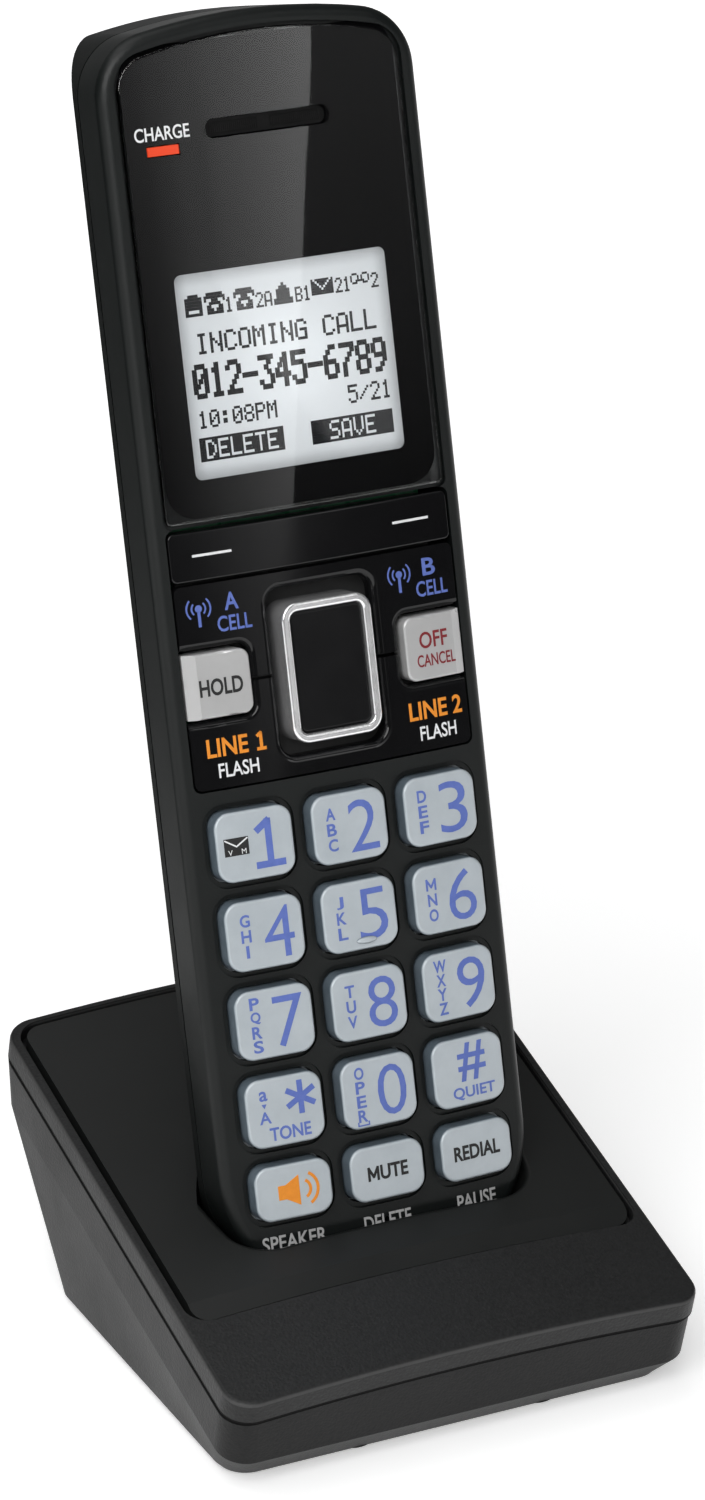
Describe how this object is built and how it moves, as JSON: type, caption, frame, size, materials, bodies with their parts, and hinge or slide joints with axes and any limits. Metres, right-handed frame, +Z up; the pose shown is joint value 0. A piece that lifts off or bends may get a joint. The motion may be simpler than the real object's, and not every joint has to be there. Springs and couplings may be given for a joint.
{
  "type": "cordless telephone handset with charging cradle",
  "caption": "Slim cordless telephone handset with display and keypad leaning back in the pocket of a low, wedge-shaped charging cradle.",
  "frame": {"origin": "on the table, under the middle of the whole object's box", "axes": "+X to the user's right, +Y away from the user, +Z up"},
  "size_m": [0.0714, 0.0906, 0.1841],
  "materials": {
    "cradle": "fine satin texture",
    "case": "satin",
    "gloss_black": "gloss",
    "lens": "gloss, dark printed border",
    "display": "smooth",
    "key_grey": "silky silver grey",
    "chrome": "polished",
    "light": "clear red",
    "mesh": "woven, black",
    "rubber": "matte",
    "board": "solder mask",
    "inner_plastic": "moulded",
    "steel": "plain",
    "gold": "plated",
    "cell": "shrink sleeve"
  },
  "bodies": {
    "cradle": {"cradle_base": "cradle", "cradle_cover": "cradle", "cradle_insert": "cradle", "cradle_feet": "rubber", "cradle_screws": "steel", "cradle_board": "board", "cradle_ballast": "steel", "dc_inlet": "inner_plastic"},
    "handset": {"handset_front_case": "case", "handset_rear_case": "case", "display_lens": "lens", "lcd_panel": "display", "lcd_holder": "inner_plastic", "charge_light": "light", "earpiece_mesh": "mesh", "earpiece_speaker": "inner_plastic", "keypad_rubber": "rubber", "main_board": "board", "antenna": "steel", "microphone": "steel", "loudspeaker": "inner_plastic", "battery_cells": "cell", "battery_plug": "inner_plastic", "charging_pads": "gold", "handset_screws": "steel"},
    "battery_door": {"battery_door": "case"},
    "softkey_bar": {"softkey_bar": "gloss_black"},
    "cell_rocker": {"cell_rocker": "gloss_black"},
    "line_rocker": {"line_rocker": "gloss_black"},
    "nav_key": {"nav_ring": "chrome", "nav_pad": "gloss_black"},
    "contact_left": {"contact_left": "gold"},
    "contact_right": {"contact_right": "gold"},
    "key_1": {"key_1": "key_grey"},
    "key_2": {"key_2": "key_grey"},
    "key_3": {"key_3": "key_grey"},
    "key_4": {"key_4": "key_grey"},
    "key_5": {"key_5": "key_grey"},
    "key_6": {"key_6": "key_grey"},
    "key_7": {"key_7": "key_grey"},
    "key_8": {"key_8": "key_grey"},
    "key_9": {"key_9": "key_grey"},
    "key_star": {"key_star": "key_grey"},
    "key_0": {"key_0": "key_grey"},
    "key_hash": {"key_hash": "key_grey"},
    "speaker_key": {"speaker_key": "key_grey"},
    "mute_key": {"mute_key": "key_grey"},
    "redial_key": {"redial_key": "key_grey"},
    "hold_key": {"hold_key": "key_grey"},
    "off_key": {"off_key": "key_grey"}
  },
  "joints": [
    {"name": "handset_lift", "type": "slide", "parent": "cradle", "child": "handset", "axis": [0, 0.2448, 0.9696], "range_m": [0, 0.07]},
    {"name": "door_off", "type": "slide", "parent": "handset", "child": "battery_door", "axis": [0, 0.9696, -0.2448], "range_m": [0, 0.01]},
    {"name": "key_1_press", "type": "slide", "parent": "handset", "child": "key_1", "axis": [0, 0.9696, -0.2448], "range_m": [0, 0.0008], "stiffness_N_per_m": 300, "springref_m": -0.001},
    {"name": "key_2_press", "type": "slide", "parent": "handset", "child": "key_2", "axis": [0, 0.9696, -0.2448], "range_m": [0, 0.0008], "stiffness_N_per_m": 300, "springref_m": -0.001},
    {"name": "key_3_press", "type": "slide", "parent": "handset", "child": "key_3", "axis": [0, 0.9696, -0.2448], "range_m": [0, 0.0008], "stiffness_N_per_m": 300, "springref_m": -0.001},
    {"name": "key_4_press", "type": "slide", "parent": "handset", "child": "key_4", "axis": [0, 0.9696, -0.2448], "range_m": [0, 0.0008], "stiffness_N_per_m": 300, "springref_m": -0.001},
    {"name": "key_5_press", "type": "slide", "parent": "handset", "child": "key_5", "axis": [0, 0.9696, -0.2448], "range_m": [0, 0.0008], "stiffness_N_per_m": 300, "springref_m": -0.001},
    {"name": "key_6_press", "type": "slide", "parent": "handset", "child": "key_6", "axis": [0, 0.9696, -0.2448], "range_m": [0, 0.0008], "stiffness_N_per_m": 300, "springref_m": -0.001},
    {"name": "key_7_press", "type": "slide", "parent": "handset", "child": "key_7", "axis": [0, 0.9696, -0.2448], "range_m": [0, 0.0008], "stiffness_N_per_m": 300, "springref_m": -0.001},
    {"name": "key_8_press", "type": "slide", "parent": "handset", "child": "key_8", "axis": [0, 0.9696, -0.2448], "range_m": [0, 0.0008], "stiffness_N_per_m": 300, "springref_m": -0.001},
    {"name": "key_9_press", "type": "slide", "parent": "handset", "child": "key_9", "axis": [0, 0.9696, -0.2448], "range_m": [0, 0.0008], "stiffness_N_per_m": 300, "springref_m": -0.001},
    {"name": "key_star_press", "type": "slide", "parent": "handset", "child": "key_star", "axis": [0, 0.9696, -0.2448], "range_m": [0, 0.0008], "stiffness_N_per_m": 300, "springref_m": -0.001},
    {"name": "key_0_press", "type": "slide", "parent": "handset", "child": "key_0", "axis": [0, 0.9696, -0.2448], "range_m": [0, 0.0008], "stiffness_N_per_m": 300, "springref_m": -0.001},
    {"name": "key_hash_press", "type": "slide", "parent": "handset", "child": "key_hash", "axis": [0, 0.9696, -0.2448], "range_m": [0, 0.0008], "stiffness_N_per_m": 300, "springref_m": -0.001},
    {"name": "speaker_key_press", "type": "slide", "parent": "handset", "child": "speaker_key", "axis": [0, 0.9696, -0.2448], "range_m": [0, 0.0008], "stiffness_N_per_m": 300, "springref_m": -0.001},
    {"name": "mute_key_press", "type": "slide", "parent": "handset", "child": "mute_key", "axis": [0, 0.9696, -0.2448], "range_m": [0, 0.0008], "stiffness_N_per_m": 300, "springref_m": -0.001},
    {"name": "redial_key_press", "type": "slide", "parent": "handset", "child": "redial_key", "axis": [0, 0.9696, -0.2448], "range_m": [0, 0.0008], "stiffness_N_per_m": 300, "springref_m": -0.001},
    {"name": "hold_key_press", "type": "slide", "parent": "handset", "child": "hold_key", "axis": [0, 0.9696, -0.2448], "range_m": [0, 0.0008], "stiffness_N_per_m": 300, "springref_m": -0.001},
    {"name": "off_key_press", "type": "slide", "parent": "handset", "child": "off_key", "axis": [0, 0.9696, -0.2448], "range_m": [0, 0.0008], "stiffness_N_per_m": 300, "springref_m": -0.001},
    {"name": "softkey_bar_rock", "type": "hinge", "parent": "handset", "child": "softkey_bar", "pos_m": [0, 0.00636, 0.11471], "axis": [0, 0.2448, 0.9696], "range_deg": [-1.5, 1.5], "stiffness_Nm_per_rad": 0.15},
    {"name": "cell_rocker_rock", "type": "hinge", "parent": "handset", "child": "cell_rocker", "pos_m": [0, 0.00373, 0.10429], "axis": [0, 0.2448, 0.9696], "range_deg": [-1.5, 1.5], "stiffness_Nm_per_rad": 0.15},
    {"name": "line_rocker_rock", "type": "hinge", "parent": "handset", "child": "line_rocker", "pos_m": [0, 0.00031, 0.09076], "axis": [0, 0.2448, 0.9696], "range_deg": [-1.5, 1.5], "stiffness_Nm_per_rad": 0.15},
    {"name": "nav_tilt", "type": "hinge", "parent": "handset", "child": "nav_key", "pos_m": [0, 0.00211, 0.09748], "axis": [1, 0, 0], "range_deg": [-2, 2], "stiffness_Nm_per_rad": 0.1},
    {"name": "contact_left_spring", "type": "slide", "parent": "cradle", "child": "contact_left", "axis": [0, 0.9696, -0.2448], "range_m": [0, 0.0008], "stiffness_N_per_m": 300, "springref_m": -0.001},
    {"name": "contact_right_spring", "type": "slide", "parent": "cradle", "child": "contact_right", "axis": [0, 0.9696, -0.2448], "range_m": [0, 0.0008], "stiffness_N_per_m": 300, "springref_m": -0.001}
  ]
}
